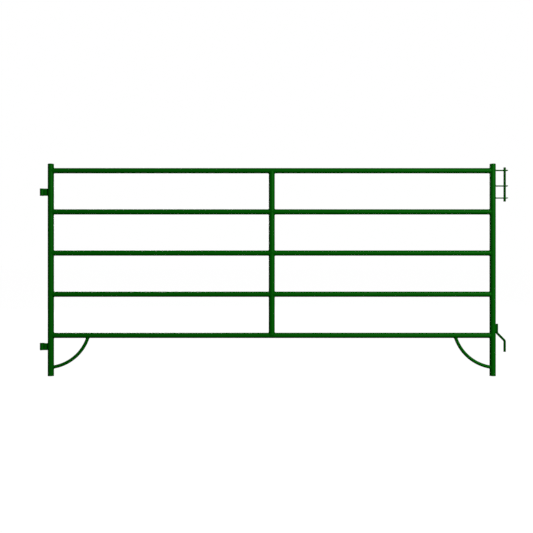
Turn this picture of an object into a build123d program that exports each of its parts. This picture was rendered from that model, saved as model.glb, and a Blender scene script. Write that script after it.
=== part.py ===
from build123d import *
import math
import os

# A welded tube panel for penning livestock. Panels stand in a row and hook together end to
# end: the left post carries two sleeves, the right post a fixed pin below and a sliding pin
# above. Millimetres, +Z up, +X from the sleeves to the pins, ground at Z = 0, and the Y axis
# through the tubes' common plane. The origin is the middle of the panel's length.

# Overall sizes
hook_up_length = 3657.6     # 12 ft, from the axis of the sleeves to the axis of the pins
panel_height = 1676.4       # 5 ft 6 in, from the ground to the top of the caps
sleeve_offset = 70.0        # from the left post's axis out to the sleeves' axis
pin_offset = 95.0           # from the right post's axis out to the pins' axis

# Tubes: outer radius and wall
post_radius = 24.13         # 1.900 in pipe
rail_radius = 21.08         # 1.660 in pipe
brace_radius = 13.335       # 1.050 in pipe
tube_wall = 2.11            # 14 gauge, in every tube of the frame

# Rails, from the ground up
bottom_rail_height = 320.0
top_rail_height = 1621.6
rail_names = ["bottom_rail", "lower_rail", "middle_rail", "upper_rail", "top_rail"]

# The stay is cut to lengths that stand between the rails, with an end saddled on each rail
stay_names = ["bottom_stay", "lower_stay", "upper_stay", "top_stay"]
stay_lip_gap = 2.5          # from a rail's axis plane to the tip of a stay's saddle

# Curved braces between the posts' feet and the bottom rail
brace_bend_radius = 345.0
brace_centre_out = 35.0     # bend centre outside the post's axis
brace_centre_rise = 90.5    # bend centre above the bottom rail's axis

# Post caps
cap_height = 6.0
cap_round = 4.0
cap_lip_depth = 5.0
cap_lip_wall = 1.5
cap_lip_clearance = 0.2

# Sleeves on the left post and the plates that carry them
sleeve_radius = 16.7        # 1.315 in pipe
sleeve_bore_radius = 13.3
sleeve_length = 57.15
sleeve_edge_chamfer = 0.8
sleeve_heights = {"lower": 232.0, "upper": 1452.0}
web_thickness = 9.525

# Guide plates on the right post
plate_heights = {"bottom": 1405.6, "middle": 1500.9, "top": 1623.6}
plate_thickness = 6.35
plate_width = 38.1
plate_end_past_pin = 23.5
plate_corner_radius = 10.0
plate_hole_radius = 10.3

# Sliding pin and the cross bar that lifts it and stops it
pin_radius = 9.525          # 3/4 in round bar
slide_pin_bottom = 1377.6
slide_pin_length = 270.4
pin_end_round = 3.0
cross_bar_radius = 3.175
cross_bar_length = 46.0
cross_bar_hole_clearance = 0.03
cross_bar_chamfer = 0.8
running_gap = 0.3           # between the resting cross bar and the middle plate

# Fixed pin, a bent round bar welded along the side of the right post
hook_top = 412.0
hook_first_bend = 339.4
hook_bottom = 189.8
hook_bend_radius = 20.0
hook_post_gap = 0.05

# Positions worked out from the sizes above
left_end = -(hook_up_length + sleeve_radius + plate_end_past_pin) / 2
sleeve_x = left_end + sleeve_radius
left_post_x = sleeve_x + sleeve_offset
pin_x = sleeve_x + hook_up_length
right_post_x = pin_x - pin_offset
stay_x = (left_post_x + right_post_x) / 2
rail_pitch = (top_rail_height - bottom_rail_height) / (len(rail_names) - 1)
rail_heights = [bottom_rail_height + i * rail_pitch for i in range(len(rail_names))]
post_tube_height = panel_height - cap_height


def upright(x, radius, bottom, top):
    """Solid round bar standing on the axis x, 0."""
    bar = Cylinder(radius, top - bottom, align=(Align.CENTER, Align.CENTER, Align.MIN))
    return Pos(x, 0, bottom) * bar


def level(z, radius, left, right):
    """Solid round bar lying along X at the height z."""
    bar = Cylinder(radius, right - left, align=(Align.CENTER, Align.CENTER, Align.MIN))
    return Pos(left, 0, z) * Rot(0, 90, 0) * bar


# Solid copies of the tubes that other pieces are coped to
left_post_bar = upright(left_post_x, post_radius, 0, panel_height)
right_post_bar = upright(right_post_x, post_radius, 0, panel_height)
rail_bars = [level(z, rail_radius, left_post_x, right_post_x) for z in rail_heights]


def make_post(x):
    """Post tube, open at the ground and closed by its cap at the top."""
    return upright(x, post_radius, 0, post_tube_height) - upright(
        x, post_radius - tube_wall, 0, post_tube_height
    )


def make_cap(x):
    """Pressed cap: a disc with a rounded rim and a ring that locates it in the tube."""
    disc = upright(x, post_radius, post_tube_height, panel_height)
    disc = fillet(disc.edges().sort_by(Axis.Z)[-1], cap_round)
    ring_radius = post_radius - tube_wall - cap_lip_clearance
    ring_bottom = post_tube_height - cap_lip_depth
    ring = upright(x, ring_radius, ring_bottom, post_tube_height)
    ring -= upright(x, ring_radius - cap_lip_wall, ring_bottom, post_tube_height)
    return disc + ring


def make_rail(z):
    """Rail tube, with both ends coped to the posts."""
    tube = level(z, rail_radius, left_post_x, right_post_x)
    tube -= level(z, rail_radius - tube_wall, left_post_x, right_post_x)
    return tube - left_post_bar - right_post_bar


def make_stay(index):
    """One length of the stay, saddled on the rail below and the rail above."""
    bottom = rail_heights[index] + stay_lip_gap
    top = rail_heights[index + 1] - stay_lip_gap
    tube = upright(stay_x, post_radius, bottom, top)
    tube -= upright(stay_x, post_radius - tube_wall, bottom, top)
    return tube - rail_bars[index] - rail_bars[index + 1]


def make_brace(post_x, inward, post_bar):
    """Bent tube from the post near the ground to the underside of the bottom rail."""
    centre_x = post_x - inward * brace_centre_out
    centre_z = bottom_rail_height + brace_centre_rise
    start = math.degrees(math.asin(brace_centre_out / brace_bend_radius))
    end = math.degrees(math.acos(brace_centre_rise / brace_bend_radius))
    section_plane = Plane((centre_x, 0, centre_z), x_dir=(0, 0, -1), z_dir=(inward, 0, 0))
    ring = Circle(brace_radius) - Circle(brace_radius - tube_wall)
    section = section_plane * Pos(brace_bend_radius, 0) * ring
    bend_axis = Axis((centre_x, 0, centre_z), (0, -inward, 0))
    tube = revolve(section.rotate(bend_axis, start), bend_axis, end - start)
    return tube - post_bar - rail_bars[0]


def make_sleeve(z):
    """Short pipe that a neighbouring panel's pin drops into."""
    bottom = z - sleeve_length / 2
    top = z + sleeve_length / 2
    sleeve = upright(sleeve_x, sleeve_radius, bottom, top)
    sleeve = chamfer(sleeve.edges().filter_by(GeomType.CIRCLE), sleeve_edge_chamfer)
    return sleeve - upright(sleeve_x, sleeve_bore_radius, bottom, top)


def make_web(z):
    """Plate on edge between a sleeve and the left post, hollowed to fit both."""
    web = Box(sleeve_offset, web_thickness, sleeve_length, align=(Align.MIN, Align.CENTER, Align.CENTER))
    web = Pos(sleeve_x, 0, z) * web
    sleeve_bar = upright(sleeve_x, sleeve_radius, z - sleeve_length, z + sleeve_length)
    return web - left_post_bar - sleeve_bar


def make_guide_plate(z):
    """Flat bar standing out level from the right post, with a hole for the sliding pin."""
    length = pin_offset + plate_end_past_pin
    plate = Box(length, plate_width, plate_thickness, align=(Align.MIN, Align.CENTER, Align.CENTER))
    outer_corners = plate.edges().filter_by(Axis.Z).group_by(Axis.X)[-1]
    plate = Pos(right_post_x, 0, z) * fillet(outer_corners, plate_corner_radius)
    hole = upright(pin_x, plate_hole_radius, z - plate_thickness, z + plate_thickness)
    return plate - right_post_bar - hole


cross_bar_z = plate_heights["middle"] + plate_thickness / 2 + running_gap + cross_bar_radius


def cross_bar_blank(radius, length):
    """Solid round bar along Y through the sliding pin."""
    return Pos(pin_x, 0, cross_bar_z) * Rot(90, 0, 0) * Cylinder(radius, length)


def make_slide_pin():
    """Round bar with rounded ends, drilled across for the cross bar."""
    pin = upright(pin_x, pin_radius, slide_pin_bottom, slide_pin_bottom + slide_pin_length)
    pin = fillet(pin.edges().filter_by(GeomType.CIRCLE), pin_end_round)
    drill_radius = cross_bar_radius + cross_bar_hole_clearance
    return pin - cross_bar_blank(drill_radius, 4 * pin_radius)


def make_cross_bar():
    """Finger grip of the sliding pin, which rests on the middle guide plate."""
    bar = cross_bar_blank(cross_bar_radius, cross_bar_length)
    return chamfer(bar.edges().filter_by(GeomType.CIRCLE), cross_bar_chamfer)


def make_hook_pin():
    """Bent bar: a leg along the post, a slanted run out, and the leg that hooks down."""
    leg_x = right_post_x + post_radius + pin_radius + hook_post_gap
    second_bend = hook_first_bend - (pin_x - leg_x)
    path = FilletPolyline(
        (leg_x, 0, hook_top),
        (leg_x, 0, hook_first_bend),
        (pin_x, 0, second_bend),
        (pin_x, 0, hook_bottom),
        radius=hook_bend_radius,
    )
    section = Plane((leg_x, 0, hook_top), z_dir=(0, 0, -1)) * Circle(pin_radius)
    bar = sweep(section, path=path)
    ends = bar.edges().filter_by(GeomType.CIRCLE).sort_by(Axis.Z)
    return fillet([ends[0], ends[-1]], pin_end_round)


pieces = {
    "left_post": make_post(left_post_x),
    "right_post": make_post(right_post_x),
    "left_post_cap": make_cap(left_post_x),
    "right_post_cap": make_cap(right_post_x),
    "left_corner_brace": make_brace(left_post_x, 1, left_post_bar),
    "right_corner_brace": make_brace(right_post_x, -1, right_post_bar),
    "slide_pin": make_slide_pin(),
    "cross_bar": make_cross_bar(),
    "hook_pin": make_hook_pin(),
}
for name, z in zip(rail_names, rail_heights):
    pieces[name] = make_rail(z)
for index, name in enumerate(stay_names):
    pieces[name] = make_stay(index)
for name, z in sleeve_heights.items():
    pieces[f"{name}_sleeve"] = make_sleeve(z)
    pieces[f"{name}_sleeve_web"] = make_web(z)
for name, z in plate_heights.items():
    pieces[f"{name}_guide_plate"] = make_guide_plate(z)

os.makedirs("parts", exist_ok=True)
for name, piece in pieces.items():
    export_step(piece, f"parts/{name}.step")
    print(f"{name:22} {len(piece.solids())} solid  {piece.volume:12.1f} mm3")
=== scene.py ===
import math

import bpy
from bpy.props import FloatProperty, FloatVectorProperty, IntProperty, PointerProperty
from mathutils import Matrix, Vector


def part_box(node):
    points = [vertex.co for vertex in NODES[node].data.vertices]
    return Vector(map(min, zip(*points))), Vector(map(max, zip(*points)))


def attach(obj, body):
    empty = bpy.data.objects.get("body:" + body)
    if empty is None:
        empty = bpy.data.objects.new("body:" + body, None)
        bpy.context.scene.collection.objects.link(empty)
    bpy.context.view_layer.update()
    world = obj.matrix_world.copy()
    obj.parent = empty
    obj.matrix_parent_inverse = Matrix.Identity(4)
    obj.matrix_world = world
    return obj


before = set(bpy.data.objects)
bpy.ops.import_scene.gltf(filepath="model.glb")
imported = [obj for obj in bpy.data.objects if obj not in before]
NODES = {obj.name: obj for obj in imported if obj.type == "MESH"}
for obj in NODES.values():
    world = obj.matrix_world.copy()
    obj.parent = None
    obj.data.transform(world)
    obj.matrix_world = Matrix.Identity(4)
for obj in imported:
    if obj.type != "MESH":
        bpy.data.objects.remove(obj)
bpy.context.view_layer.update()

bl_info = {
    "name": "Livestock panel finish",
    "version": (1, 0, 0),
    "blender": (4, 5, 0),
    "location": "View3D > Sidebar > Panel finish",
    "description": "Paints a welded tube livestock panel, lays its weld beads and sets its studio",
    "category": "Object",
}

FRAME_BODY = "panel_frame"
PIN_BODY = "sliding_pin"


# ---------------------------------------------------------------- places, read from the frame


def middle(node):
    """The point halfway between a node's corners."""
    low, high = (Vector(corner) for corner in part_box(node))
    return (low + high) / 2


def half_size(node):
    """Half of a node's size along X, Y and Z."""
    low, high = (Vector(corner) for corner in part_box(node))
    return (high - low) / 2


RAILS = ["bottom_rail", "lower_rail", "middle_rail", "upper_rail", "top_rail"]
STAYS = ["bottom_stay", "lower_stay", "upper_stay", "top_stay"]
POST_RADIUS = half_size("left_post").y
RAIL_RADIUS = half_size("bottom_rail").y
BRACE_RADIUS = half_size("left_corner_brace").y
SLEEVE_RADIUS = half_size("upper_sleeve").y
PIN_RADIUS = half_size("slide_pin").y
SLEEVES = ["lower_sleeve", "upper_sleeve"]
GUIDE_PLATES = ["bottom_guide_plate", "middle_guide_plate", "top_guide_plate"]
POST_X = {"left": middle("left_post").x, "right": middle("right_post").x}
INWARD = {"left": 1, "right": -1}

# Sizes of bent pieces, which their boxes don't give, in metres
BRACE_BEND_RADIUS = 0.345
BRACE_CENTRE_OUT = 0.035
BRACE_CENTRE_RISE = 0.0905
HOOK_LEG_LENGTH = 0.0643

# How far a bead's radius wanders from one ripple to the next, as a share of it, and its seed
BEAD_DRIFT = 0.06
DRIFT_SEED = 11

# Steps in which the line of a bead is cut along each ripple
POINTS_PER_RIPPLE = 5

# The beads in the grooves beside the hooked pin's leg: their place across the leg, as a share of
# its radius, and how far they stand off the post, as a share of their own
GROOVE_ACROSS = 0.62
GROOVE_LIFT = 0.4

# Broad and fine patches in the enamel: their width in metres, the band of noise in which they
# come up, how far they turn the green towards its deep green, and how much they change roughness
CLOUD_SIZE = 0.35
CLOUD_BAND = (0.35, 0.75)
CLOUD_DEPTH = 0.16
CLOUD_ROUGHNESS = 0.10
SPECKLE_SIZE = 0.012
SPECKLE_BAND = (0.45, 0.8)
SPECKLE_DEPTH = 0.04
SPECKLE_ROUGHNESS = 0.08

# Rubbed patches: their width in metres, the band of noise in which they come up, and how far the
# enamel is gone there
PIN_SCUFF_SIZE = 0.006
PIN_SCUFF_BAND = (0.56, 0.66)
PIN_SCUFF_STRENGTH = 0.55
PLATE_SCUFF_SIZE = 0.005
PLATE_SCUFF_BAND = (0.52, 0.62)
PLATE_SCUFF_STRENGTH = 0.6

# How rubbed the pins' tips are, as a share of the places beside the guide plates
TIP_SHARE = 0.5

# How much smoother rubbed steel is than the enamel, and how much lower, in metres
RUBBED_SMOOTHER = 0.08
RUBBED_LOWER = 0.00012

# Where the rubbing fades out, in metres: from a pin's tip, from a guide plate's middle, from the
# axis of the plates' holes and from the axis of the sleeves
TIP_FADE = (0.002, 0.012)
PLATE_FADE = (0.004, 0.012)
HOLE_FADE = (0.0105, 0.0155)
SLEEVE_FADE = (0.0134, 0.0150)

# The studio, in metres, with the camera's sensor in millimetres
SENSOR_WIDTH = 36
FLOOR_SIZE = 400
SOFT_BOX_SIZE = 4.0
KEY_PLACE = (5.8, -9.5, 5.0)
FILL_PLACE = (-3.0, 9.0, 3.0)
LIGHT_AIM = (0, 0, 0.8)

# The band round the horizon, as the rise of a direction, in which the ambient light comes up
HORIZON_BAND = (-0.05, 0.15)

# Colour of the light and the surroundings, and of the paper floor under its glow
WHITE = (1.0, 1.0, 1.0)
PAPER = (0.06, 0.06, 0.06)


# ---------------------------------------------------------------- sizes and colours to change


class PaintSettings(bpy.types.PropertyGroup):
    green: FloatVectorProperty(
        name="Green", description="Colour of the enamel where it is thick",
        subtype="COLOR", size=3, min=0, max=1, default=(0.0010, 0.084, 0.0012),
    )
    # The deep green is also painted shade: it colours the beads beside the sleeves' webs almost all over,
    # standing for the shade in the crevice between sleeve and web.
    deep_green: FloatVectorProperty(
        name="Deep green", description="Colour of the enamel where it has pooled",
        subtype="COLOR", size=3, min=0, max=1, default=(0.0005, 0.036, 0.0006),
    )
    steel: FloatVectorProperty(
        name="Rubbed steel", description="Colour of the bar where the enamel is rubbed through",
        subtype="COLOR", size=3, min=0, max=1, default=(0.16, 0.17, 0.16),
    )
    roughness: FloatProperty(
        name="Roughness", description="Mean roughness of the enamel", min=0, max=1, default=0.46,
    )
    specular: FloatProperty(
        name="Specular", description="Specular level of the enamel", min=0, max=1, default=0.10,
    )
    gloss_tint: FloatVectorProperty(
        name="Gloss tint", description="Colour of the enamel's reflections",
        subtype="COLOR", size=3, min=0, max=1, default=(0.20, 1.0, 0.18),
    )
    peel_size: FloatProperty(
        name="Orange peel size", description="Width of the ripples in the sprayed enamel",
        unit="LENGTH", min=0.0005, default=0.003,
    )
    peel_depth: FloatProperty(
        name="Orange peel depth", description="Depth of the ripples in the sprayed enamel",
        unit="LENGTH", min=0, default=0.00001, precision=5,
    )


class WeldSettings(bpy.types.PropertyGroup):
    tube_bead: FloatProperty(
        name="Tube bead", description="Radius of the beads where tubes meet",
        unit="LENGTH", min=0.0005, default=0.0032,
    )
    plate_bead: FloatProperty(
        name="Plate bead", description="Radius of the beads along plates and pins",
        unit="LENGTH", min=0.0005, default=0.0026,
    )
    sleeve_bead: FloatProperty(
        name="Sleeve bead", description="Radius of the beads down the sides of the sleeves' webs",
        unit="LENGTH", min=0.0005, default=0.005,
    )
    fine_bead: FloatProperty(
        name="Fine bead", description="Radius of the beads on the caps and the cross bar",
        unit="LENGTH", min=0.0003, default=0.0012,
    )
    ripple_pitch: FloatProperty(
        name="Ripple pitch", description="Distance between the ripples of a bead",
        unit="LENGTH", min=0.001, default=0.0032,
    )
    ripple_depth: FloatProperty(
        name="Ripple depth", description="How much a ripple swells the bead", min=0, max=0.5, default=0.16,
    )
    sides: IntProperty(
        name="Sides", description="Sides of a bead's cross-section", min=6, max=24, default=10,
    )


class StudioSettings(bpy.types.PropertyGroup):
    lens: FloatProperty(name="Lens", description="Focal length of the camera", unit="CAMERA", default=50)
    distance: FloatProperty(
        name="Distance", description="From the camera to the plane of the panel",
        unit="LENGTH", default=5.8527,
    )
    eye_height: FloatProperty(
        name="Eye height", description="Height of the camera", unit="LENGTH", default=0.8645,
    )
    eye_side: FloatProperty(
        name="Eye offset", description="From the middle of the panel to the camera, along it",
        unit="LENGTH", default=-0.0573,
    )
    ambient: FloatProperty(
        name="Ambient", description="Strength of the light from above the horizon", min=0, default=0.16,
    )
    key: FloatProperty(
        name="Key", description="Power of the soft box at the upper right", unit="POWER", default=1390,
    )
    fill: FloatProperty(
        name="Fill", description="Power of the soft box behind the panel", unit="POWER", default=600,
    )
    floor_glow: FloatProperty(
        name="Floor glow", description="How much the paper floor is lifted towards white", default=0.985,
    )


SETTINGS = {"panel_paint": PaintSettings, "panel_welds": WeldSettings, "panel_studio": StudioSettings}


# ---------------------------------------------------------------- node trees


class Wire:
    """A value on its way between two nodes. Arithmetic on wires adds Math nodes to their tree."""

    def __init__(self, tree, socket):
        self.tree = tree
        self.socket = socket

    def _math(self, operation, *values):
        return self.tree.node("ShaderNodeMath", {"operation": operation}, *values)

    def __add__(self, other):
        return self._math("ADD", self, other)

    def __radd__(self, other):
        return self._math("ADD", other, self)

    def __sub__(self, other):
        return self._math("SUBTRACT", self, other)

    def __rsub__(self, other):
        return self._math("SUBTRACT", other, self)

    def __mul__(self, other):
        return self._math("MULTIPLY", self, other)

    def __rmul__(self, other):
        return self._math("MULTIPLY", other, self)

    def __truediv__(self, other):
        return self._math("DIVIDE", self, other)

    def __rtruediv__(self, other):
        return self._math("DIVIDE", other, self)

    def __abs__(self):
        return self._math("ABSOLUTE", self)

    def fraction(self):
        return self._math("FRACT", self)

    def root(self):
        return self._math("SQRT", self)

    def between(self, low, high):
        """Rises smoothly from 0 to 1 as the value goes from low to high."""
        return self.tree.node(
            "ShaderNodeMapRange", {"interpolation_type": "SMOOTHSTEP"},
            Value=self, **{"From Min": low, "From Max": high},
        )


class Tree:
    """Adds nodes to a node tree in one call each."""

    def __init__(self, node_tree):
        self.tree = node_tree

    def add(self, kind, settings=None, *values, **named):
        """A node of a type, with its settings, then its sockets' values or wires in order or by name."""
        node = self.tree.nodes.new(kind)
        for key, value in (settings or {}).items():
            setattr(node, key, value)
        pairs = list(zip(node.inputs, values))
        for name, value in named.items():
            fitting = [s for s in node.inputs if s.enabled and name in (s.name, s.identifier)]
            pairs.append((fitting[0], value))
        for socket, value in pairs:
            if isinstance(value, Wire):
                self.tree.links.new(value.socket, socket)
            else:
                socket.default_value = value
        return node

    def node(self, kind, settings=None, *values, **named):
        """The same, giving the wire from its first output."""
        return self.output(self.add(kind, settings, *values, **named))

    def output(self, node, name=None):
        shown = [s for s in node.outputs if s.enabled]
        chosen = next((s for s in shown if s.name == name), shown[0])
        return Wire(self, chosen)

    def noise(self, place, size, detail, rough):
        """Noise whose patches are about that size."""
        return self.node(
            "ShaderNodeTexNoise", {"noise_dimensions": "3D"},
            Vector=place, Scale=1 / size, Detail=detail, Roughness=rough,
        )

    def mix_colour(self, factor, first, second):
        return self.output(self.add(
            "ShaderNodeMix", {"data_type": "RGBA"},
            **{"Factor_Float": factor, "A_Color": first, "B_Color": second},
        ), "Result")


def opaque(colour):
    return (*colour, 1.0)


# ---------------------------------------------------------------- materials


def enamel(name, wear=None, pooled=0.0):
    """Sprayed green enamel, slightly uneven, with an orange peel.

    wear(tree, place) gives where it is rubbed, and pooled how far its green is deepened all over: a darker
    tone of the paint on the pins and the tube beads, and painted shade on the beads beside the sleeves'
    webs.
    """
    paint = bpy.context.scene.panel_paint
    material = bpy.data.materials.new(name)
    material.use_nodes = True
    material.node_tree.nodes.clear()
    tree = Tree(material.node_tree)
    place = tree.output(tree.add("ShaderNodeTexCoord"), "Object")
    cloud = tree.noise(place, CLOUD_SIZE, detail=3.0, rough=0.55)
    speckle = tree.noise(place, SPECKLE_SIZE, detail=3.0, rough=0.6)
    patches = cloud.between(*CLOUD_BAND) * CLOUD_DEPTH + speckle.between(*SPECKLE_BAND) * SPECKLE_DEPTH
    depth = patches + pooled
    colour = tree.mix_colour(depth, opaque(paint.green), opaque(paint.deep_green))
    uneven = (cloud - 0.5) * CLOUD_ROUGHNESS + (speckle - 0.5) * SPECKLE_ROUGHNESS
    roughness = uneven + paint.roughness
    peel = tree.noise(place, paint.peel_size, detail=1.0, rough=0.4)
    height = peel * paint.peel_depth
    metallic = 0.0
    if wear:
        rubbed = wear(tree, place)
        colour = tree.mix_colour(rubbed, colour, opaque(paint.steel))
        roughness = roughness - rubbed * RUBBED_SMOOTHER
        height = height - rubbed * RUBBED_LOWER
        metallic = rubbed
    bump = tree.node("ShaderNodeBump", None, Height=height, Distance=1.0, Strength=1.0)
    shader = tree.node("ShaderNodeBsdfPrincipled", None, **{
        "Base Color": colour, "Metallic": metallic, "Roughness": roughness,
        "Specular IOR Level": paint.specular, "Specular Tint": opaque(paint.gloss_tint), "Normal": bump,
    })
    tree.add("ShaderNodeOutputMaterial", None, Surface=shader)
    return material


def distance_from_axis(tree, place, x):
    """Distance of a point from the upright axis through x, 0."""
    parts = tree.add("ShaderNodeSeparateXYZ", None, Vector=place)
    across = tree.output(parts, "X") - x
    depth = tree.output(parts, "Y")
    return (across * across + depth * depth).root()


def height_of(tree, place):
    """Z of a place, or the rise of a direction."""
    return tree.output(tree.add("ShaderNodeSeparateXYZ", None, Vector=place), "Z")


def scuffs(tree, place, size, band):
    """Patches of rubbed paint of about that size."""
    return tree.noise(place, size, detail=4.0, rough=0.65).between(*band)


def pin_wear(tree, place):
    """The pins are rubbed in bands beside each guide plate and at their tips."""
    height = height_of(tree, place)
    low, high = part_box("slide_pin")
    hook_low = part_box("hook_pin")[0][2]
    near = 0.0
    for tip in (low[2], high[2], hook_low):
        near = near + (1 - abs(height - tip).between(*TIP_FADE)) * TIP_SHARE
    for plate in GUIDE_PLATES:
        near = near + (1 - abs(height - middle(plate).z).between(*PLATE_FADE))
    return near * scuffs(tree, place, PIN_SCUFF_SIZE, PIN_SCUFF_BAND) * PIN_SCUFF_STRENGTH


def plate_wear(tree, place):
    """The guide plates and sleeves are rubbed round the pins' holes."""
    hole = distance_from_axis(tree, place, middle("slide_pin").x)
    sleeve = distance_from_axis(tree, place, middle("upper_sleeve").x)
    near = (1 - hole.between(*HOLE_FADE)) + (1 - sleeve.between(*SLEEVE_FADE))
    return near * scuffs(tree, place, PLATE_SCUFF_SIZE, PLATE_SCUFF_BAND) * PLATE_SCUFF_STRENGTH


def paint_nodes(names, material):
    for name in names:
        slots = NODES[name].data.materials
        slots.clear()
        slots.append(material)


# ---------------------------------------------------------------- seams that the beads follow


def meeting_point(surface, buried, start, end, steps=24):
    """Where a line on a surface, from clear at start to buried at end, enters the other piece."""
    for _ in range(steps):
        halfway = (start + end) / 2
        if buried(surface(halfway)):
            end = halfway
        else:
            start = halfway
    return surface(start)


def seam_over(turns, surface, buried, start, end):
    """Seam on a tube whose surface is surface(along, turn), over those turns about its axis."""
    return [meeting_point(lambda along: surface(along, turn), buried, start, end) for turn in turns]


def seam_round(surface, buried, start, end, count=48):
    """Closed seam round a tube."""
    return seam_over([2 * math.pi * i / count for i in range(count)], surface, buried, start, end)


def in_upright(x, radius):
    return lambda p: math.hypot(p.x - x, p.y) < radius


def in_rail(z, radius):
    return lambda p: math.hypot(p.z - z, p.y) < radius


def rail_seams(rail):
    """Both ends of a rail, on the posts."""
    z = middle(rail).z
    seams = []
    for side, post_x in POST_X.items():

        def surface(along, turn):
            across = RAIL_RADIUS * math.cos(turn)
            return Vector((post_x + INWARD[side] * along, across, z + RAIL_RADIUS * math.sin(turn)))

        seams.append(seam_round(surface, in_upright(post_x, POST_RADIUS), 2 * POST_RADIUS, 0))
    return seams


def stay_seams(index):
    """Both ends of a stay length, on the rails below and above it."""
    x = middle(STAYS[index]).x
    low, high = (corner[2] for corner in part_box(STAYS[index]))
    seams = []
    for rail, tip, up in ((RAILS[index], low, 1), (RAILS[index + 1], high, -1)):
        z = middle(rail).z

        def surface(along, turn):
            return Vector((x + POST_RADIUS * math.cos(turn), POST_RADIUS * math.sin(turn), z + up * along))

        seams.append(seam_round(surface, in_rail(z, RAIL_RADIUS), 2 * RAIL_RADIUS, abs(tip - z)))
    return seams


def brace_seams(side):
    """Both ends of a curved brace, on the post and on the bottom rail."""
    post_x, inward = POST_X[side], INWARD[side]
    rail_z = middle("bottom_rail").z
    centre = Vector((post_x - inward * BRACE_CENTRE_OUT, 0, rail_z + BRACE_CENTRE_RISE))

    def surface(angle, turn):
        outward = Vector((inward * math.sin(angle), 0, -math.cos(angle)))
        reach = BRACE_BEND_RADIUS + BRACE_RADIUS * math.cos(turn)
        return centre + outward * reach + Vector((0, BRACE_RADIUS * math.sin(turn), 0))

    at_post = math.asin(BRACE_CENTRE_OUT / BRACE_BEND_RADIUS)
    at_rail = math.acos(BRACE_CENTRE_RISE / BRACE_BEND_RADIUS)
    halfway = (at_post + at_rail) / 2
    return [
        seam_round(surface, in_upright(post_x, POST_RADIUS), halfway, at_post),
        seam_round(surface, in_rail(rail_z, RAIL_RADIUS), halfway, at_rail),
    ]


def ring_seam(x, z, radius, count=48):
    """Level ring round an upright axis."""
    turns = [2 * math.pi * i / count for i in range(count)]
    return [Vector((x + radius * math.cos(turn), radius * math.sin(turn), z)) for turn in turns]


def web_seams(name, margin):
    """The four upright corners of a sleeve's web: two against the sleeve and two against the post."""
    web = half_size(f"{name}_web")
    low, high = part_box(f"{name}_web")
    sleeve_x = middle(name).x
    seams = []
    for y in (-web.y, web.y):
        for x in (
            sleeve_x + math.sqrt(SLEEVE_RADIUS**2 - y**2),
            POST_X["left"] - math.sqrt(POST_RADIUS**2 - y**2),
        ):
            seams.append([Vector((x, y, low[2] + margin)), Vector((x, y, high[2] - margin))])
    return seams


def plate_seam(name, count=24):
    """Closed seam round a guide plate's end, over and under it, against the post."""
    plate = half_size(name)
    z = middle(name).z
    seam = []
    for level, way in ((z + plate.z, 1), (z - plate.z, -1)):
        for i in range(count + 1):
            y = way * plate.y * (2 * i / count - 1)
            seam.append(Vector((POST_X["right"] + math.sqrt(POST_RADIUS**2 - y**2), y, level)))
    return seam


def hook_seams(bead):
    """Two upright lines in the grooves between the hooked pin's upper leg and the post."""
    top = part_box("hook_pin")[1][2]
    groove_y = PIN_RADIUS * GROOVE_ACROSS
    post_face = POST_X["right"] + math.sqrt(POST_RADIUS**2 - groove_y**2)
    x = post_face + bead * GROOVE_LIFT
    bottom = top - HOOK_LEG_LENGTH + bead
    return [[Vector((x, y, bottom)), Vector((x, y, top - bead))] for y in (-groove_y, groove_y)]


def cross_bar_seams(bead, count=8):
    """Tacks on both sides of the cross bar, where it leaves the sliding pin in front and behind.

    They stand no higher or lower than the bar, which meets the guide plates above and below it.
    """
    bar = middle("cross_bar")
    radius = half_size("cross_bar").z
    reach = math.asin(1 - bead / radius)
    seams = []
    for way in (-1, 1):

        def surface(along, turn):
            return bar + Vector((radius * math.cos(turn), way * along, radius * math.sin(turn)))

        for side in (0, math.pi):
            turns = [side + reach * (2 * i / count - 1) for i in range(count + 1)]
            seams.append(seam_over(turns, surface, in_upright(bar.x, PIN_RADIUS), 2 * PIN_RADIUS, 0))
    return seams


# ---------------------------------------------------------------- beads


def bead_tree():
    """Geometry nodes that turn lines into rippled weld beads."""
    group = bpy.data.node_groups.new("weld_bead", "GeometryNodeTree")
    sockets = {}
    for name, kind in (
        ("Geometry", "NodeSocketGeometry"), ("Bead Radius", "NodeSocketFloat"),
        ("Ripple Pitch", "NodeSocketFloat"), ("Ripple Depth", "NodeSocketFloat"),
        ("Sides", "NodeSocketInt"), ("Paint", "NodeSocketMaterial"),
    ):
        sockets[name] = group.interface.new_socket(name, in_out="INPUT", socket_type=kind).identifier
    group.interface.new_socket("Geometry", in_out="OUTPUT", socket_type="NodeSocketGeometry")
    tree = Tree(group)
    given = tree.add("NodeGroupInput")
    entry = {name: tree.output(given, name) for name in sockets}
    line = tree.node("GeometryNodeMeshToCurve", None, Mesh=entry["Geometry"])
    step = entry["Ripple Pitch"] / POINTS_PER_RIPPLE
    line = tree.node("GeometryNodeResampleCurve", {"mode": "LENGTH"}, Curve=line, Length=step)
    run = tree.output(tree.add("GeometryNodeSplineParameter"), "Length") / entry["Ripple Pitch"]
    phase = run.fraction()
    swell = (phase - 0.5) * (phase - 0.5) * -4 + 1
    drift = tree.node(
        "FunctionNodeRandomValue", {"data_type": "FLOAT"},
        **{"Min_001": -BEAD_DRIFT, "Max_001": BEAD_DRIFT, "ID": run - phase, "Seed": DRIFT_SEED},
    )
    size = (swell * entry["Ripple Depth"] + drift + 1) * entry["Bead Radius"]
    ring = tree.node(
        "GeometryNodeCurvePrimitiveCircle", {"mode": "RADIUS"}, Resolution=entry["Sides"], Radius=1.0,
    )
    bead = tree.node(
        "GeometryNodeCurveToMesh", None,
        **{"Curve": line, "Profile Curve": ring, "Scale": size, "Fill Caps": True},
    )
    bead = tree.node("GeometryNodeSetShadeSmooth", None, Geometry=bead)
    bead = tree.node("GeometryNodeRealizeInstances", None, Geometry=bead)
    bead = tree.node("GeometryNodeSetMaterial", None, Geometry=bead, Material=entry["Paint"])
    tree.add("NodeGroupOutput", None, bead)
    return group, sockets


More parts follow.
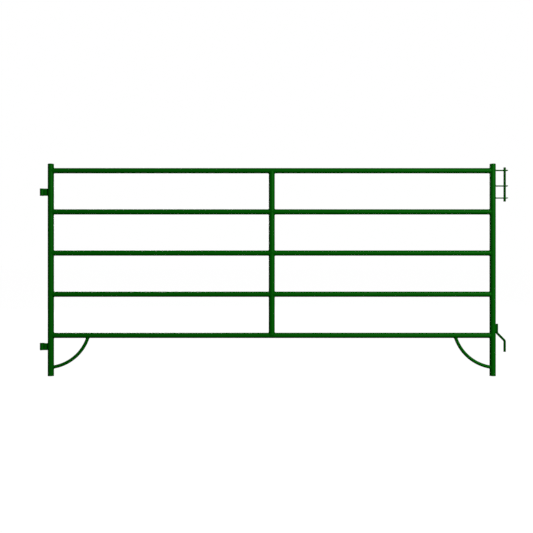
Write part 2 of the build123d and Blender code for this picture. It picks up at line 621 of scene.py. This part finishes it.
def widest(radius):
    """Radius of a bead at the top of its largest ripple."""
    return radius * (1 + bpy.context.scene.panel_welds.ripple_depth + BEAD_DRIFT)


def lay_beads(name, seams, radius, body=FRAME_BODY, closed=True, paint=None):
    """One mesh of beads that follow seams, riding on a body. Beads stay within the panel's thickness."""
    welds = bpy.context.scene.panel_welds
    limit = POST_RADIUS - widest(radius)
    points, edges = [], []
    for seam in seams:
        first = len(points)
        points.extend((point.x, max(-limit, min(limit, point.y)), point.z) for point in seam)
        edges.extend((first + i, first + i + 1) for i in range(len(seam) - 1))
        if closed:
            edges.append((len(points) - 1, first))
    lines = bpy.data.meshes.new(f"{name}_lines")
    lines.from_pydata(points, edges, [])
    bead = bpy.data.objects.new(name, lines)
    bpy.context.scene.collection.objects.link(bead)
    group, sockets = bead_tree()
    modifier = bead.modifiers.new("beads", "NODES")
    modifier.node_group = group
    for socket, value in (
        ("Bead Radius", radius), ("Ripple Pitch", welds.ripple_pitch), ("Ripple Depth", welds.ripple_depth),
        ("Sides", welds.sides), ("Paint", paint or weld_enamel()),
    ):
        modifier[sockets[socket]] = value
    evaluated = bead.evaluated_get(bpy.context.evaluated_depsgraph_get())
    finished = bpy.data.meshes.new_from_object(evaluated)
    bead.modifiers.remove(modifier)
    bead.data = finished
    finished.name = name
    bpy.data.meshes.remove(lines)
    if not finished.polygons:
        raise RuntimeError(f"{name} came out empty")
    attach(bead, body)


def made(name, **finish):
    """An enamel by name, mixed the first time that it is wanted."""
    return bpy.data.materials.get(name) or enamel(name, **finish)


def frame_enamel():
    return made("frame_enamel")


def bracket_enamel():
    return made("bracket_enamel", wear=plate_wear)


def pin_enamel():
    return made("pin_enamel", wear=pin_wear, pooled=0.6)


def weld_enamel():
    return made("weld_enamel", pooled=0.1)


# Painted shade: the beads beside the sleeves' webs are turned almost to the deep green, standing for the
# shade in the crevice between each sleeve and its web.
def sleeve_weld_painted_shade():
    return made("sleeve_weld_painted_shade", pooled=0.9)


# ---------------------------------------------------------------- operators


class PaintFrame(bpy.types.Operator):
    """Paint the posts, caps, rails, stay lengths and braces"""

    bl_idname = "panel.paint_frame"
    bl_label = "Paint the frame"

    def execute(self, context):
        ends = [f"{side}_{piece}" for side in POST_X for piece in ("post", "post_cap", "corner_brace")]
        paint_nodes(ends + RAILS + STAYS, frame_enamel())
        return {"FINISHED"}


class PaintBrackets(bpy.types.Operator):
    """Paint the sleeves, their webs and the guide plates"""

    bl_idname = "panel.paint_brackets"
    bl_label = "Paint the brackets"

    def execute(self, context):
        paint_nodes(SLEEVES + [f"{name}_web" for name in SLEEVES] + GUIDE_PLATES, bracket_enamel())
        return {"FINISHED"}


class PaintPins(bpy.types.Operator):
    """Paint the sliding pin, its cross bar and the hooked pin"""

    bl_idname = "panel.paint_pins"
    bl_label = "Paint the pins"

    def execute(self, context):
        paint_nodes(["slide_pin", "cross_bar", "hook_pin"], pin_enamel())
        return {"FINISHED"}


class WeldRails(bpy.types.Operator):
    """Weld both ends of every rail to the posts"""

    bl_idname = "panel.weld_rails"
    bl_label = "Weld the rails"

    def execute(self, context):
        welds = context.scene.panel_welds
        seams = [seam for rail in RAILS for seam in rail_seams(rail)]
        lay_beads("rail_welds", seams, welds.tube_bead)
        return {"FINISHED"}


class WeldStays(bpy.types.Operator):
    """Weld the saddled ends of the stay lengths to the rails"""

    bl_idname = "panel.weld_stays"
    bl_label = "Weld the stay"

    def execute(self, context):
        welds = context.scene.panel_welds
        seams = [seam for index in range(len(STAYS)) for seam in stay_seams(index)]
        lay_beads("stay_welds", seams, welds.tube_bead)
        return {"FINISHED"}


class WeldBraces(bpy.types.Operator):
    """Weld the curved braces to the posts and the bottom rail"""

    bl_idname = "panel.weld_braces"
    bl_label = "Weld the braces"

    def execute(self, context):
        welds = context.scene.panel_welds
        seams = [seam for side in POST_X for seam in brace_seams(side)]
        lay_beads("brace_welds", seams, welds.plate_bead)
        return {"FINISHED"}


class WeldCaps(bpy.types.Operator):
    """Weld the caps to the tops of the posts"""

    bl_idname = "panel.weld_caps"
    bl_label = "Weld the caps"

    def execute(self, context):
        welds = context.scene.panel_welds
        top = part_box("left_post")[1][2]
        seams = [ring_seam(x, top, POST_RADIUS - welds.fine_bead) for x in POST_X.values()]
        lay_beads("cap_welds", seams, welds.fine_bead)
        return {"FINISHED"}


class WeldBrackets(bpy.types.Operator):
    """Weld the sleeves' webs and the guide plates"""

    bl_idname = "panel.weld_brackets"
    bl_label = "Weld the brackets"

    def execute(self, context):
        welds = context.scene.panel_welds
        webs = [seam for name in SLEEVES for seam in web_seams(name, welds.sleeve_bead)]
        # The beads beside the sleeves' webs get a dark enamel that is painted shade for the crevice between
        # sleeve and web.
        lay_beads(
            "sleeve_welds", webs, welds.sleeve_bead,
            closed=False, paint=sleeve_weld_painted_shade(),
        )
        plates = [plate_seam(name) for name in GUIDE_PLATES]
        lay_beads("guide_plate_welds", plates, welds.plate_bead)
        return {"FINISHED"}


class WeldPins(bpy.types.Operator):
    """Weld the hooked pin along the post, and the cross bar into the sliding pin"""

    bl_idname = "panel.weld_pins"
    bl_label = "Weld the pins"

    def execute(self, context):
        welds = context.scene.panel_welds
        grooves = hook_seams(welds.tube_bead)
        lay_beads("hook_welds", grooves, welds.tube_bead, closed=False)
        tacks = cross_bar_seams(widest(welds.fine_bead))
        lay_beads("cross_bar_welds", tacks, welds.fine_bead, body=PIN_BODY, closed=False)
        return {"FINISHED"}


class SetStudio(bpy.types.Operator):
    """Lay a pale floor and set the surroundings, the lights and the camera"""

    bl_idname = "panel.set_studio"
    bl_label = "Set the studio"

    def execute(self, context):
        studio = context.scene.panel_studio
        pale_floor(studio)
        pale_surroundings(studio)
        soft_box("key", KEY_PLACE, studio.key)
        soft_box("fill", FILL_PLACE, studio.fill)
        camera = bpy.data.cameras.new("camera")
        camera.lens = studio.lens
        camera.sensor_width = SENSOR_WIDTH
        camera.clip_end = FLOOR_SIZE
        eye = bpy.data.objects.new("camera", camera)
        eye.location = (studio.eye_side, -studio.distance, studio.eye_height)
        eye.rotation_euler = (math.pi / 2, 0, 0)
        context.scene.collection.objects.link(eye)
        context.scene.camera = eye
        context.scene.view_settings.view_transform = "Standard"
        return {"FINISHED"}


def pale_floor(studio):
    """White paper, kept out of the light that falls on the panel and of its reflections."""
    mesh = bpy.data.meshes.new("floor")
    half = FLOOR_SIZE / 2
    corners = [(-half, -half, 0), (half, -half, 0), (half, half, 0), (-half, half, 0)]
    mesh.from_pydata(corners, [], [(0, 1, 2, 3)])
    floor = bpy.data.objects.new("floor", mesh)
    bpy.context.scene.collection.objects.link(floor)
    material = bpy.data.materials.new("paper")
    material.use_nodes = True
    material.node_tree.nodes.clear()
    tree = Tree(material.node_tree)
    shader = tree.node("ShaderNodeBsdfPrincipled", None, **{
        "Base Color": opaque(PAPER), "Roughness": 0.9, "Specular IOR Level": 0.0,
        "Emission Color": opaque(WHITE), "Emission Strength": studio.floor_glow,
    })
    tree.add("ShaderNodeOutputMaterial", None, Surface=shader)
    mesh.materials.append(material)
    floor.visible_diffuse = False
    floor.visible_glossy = False


def pale_surroundings(studio):
    """A white background. Above the horizon it lights the panel, as strongly as the ambient setting says."""
    world = bpy.data.worlds.new("studio")
    world.use_nodes = True
    world.node_tree.nodes.clear()
    tree = Tree(world.node_tree)
    seen = tree.output(tree.add("ShaderNodeLightPath"), "Is Camera Ray")
    way = tree.output(tree.add("ShaderNodeTexCoord"), "Generated")
    above = height_of(tree, way).between(*HORIZON_BAND)
    light = tree.node("ShaderNodeBackground", None, Color=opaque(WHITE), Strength=above * studio.ambient)
    backdrop = tree.node("ShaderNodeBackground", None, Color=opaque(WHITE), Strength=1.0)
    mixed = tree.node("ShaderNodeMixShader", None, seen, light, backdrop)
    tree.add("ShaderNodeOutputWorld", None, Surface=mixed)
    bpy.context.scene.world = world


def soft_box(name, place, power):
    """A large square light that points at the middle of the panel."""
    light = bpy.data.lights.new(name, "AREA")
    light.shape = "SQUARE"
    light.size = SOFT_BOX_SIZE
    light.energy = power
    lamp = bpy.data.objects.new(name, light)
    lamp.location = place
    lamp.rotation_euler = (Vector(LIGHT_AIM) - Vector(place)).to_track_quat("-Z", "Y").to_euler()
    bpy.context.scene.collection.objects.link(lamp)


STEPS = [
    PaintFrame, PaintBrackets, PaintPins,
    WeldRails, WeldStays, WeldBraces, WeldCaps, WeldBrackets, WeldPins,
    SetStudio,
]


class FinishPanel(bpy.types.Panel):
    """Lists the steps and the settings in the sidebar"""

    bl_idname = "VIEW3D_PT_panel_finish"
    bl_label = "Panel finish"
    bl_space_type = "VIEW_3D"
    bl_region_type = "UI"
    bl_category = "Panel finish"

    def draw(self, context):
        for step in STEPS:
            self.layout.operator(step.bl_idname)
        for key, kind in SETTINGS.items():
            box = self.layout.box()
            for setting in kind.__annotations__:
                box.prop(getattr(context.scene, key), setting)


def register():
    for kind in [*SETTINGS.values(), *STEPS, FinishPanel]:
        bpy.utils.register_class(kind)
    for key, kind in SETTINGS.items():
        setattr(bpy.types.Scene, key, PointerProperty(type=kind))


def unregister():
    for key in SETTINGS:
        delattr(bpy.types.Scene, key)
    for kind in reversed([*SETTINGS.values(), *STEPS, FinishPanel]):
        bpy.utils.unregister_class(kind)


def main():
    register()
    for step in STEPS:
        group, name = step.bl_idname.split(".")
        getattr(getattr(bpy.ops, group), name)()


if __name__ == "__main__":
    main()
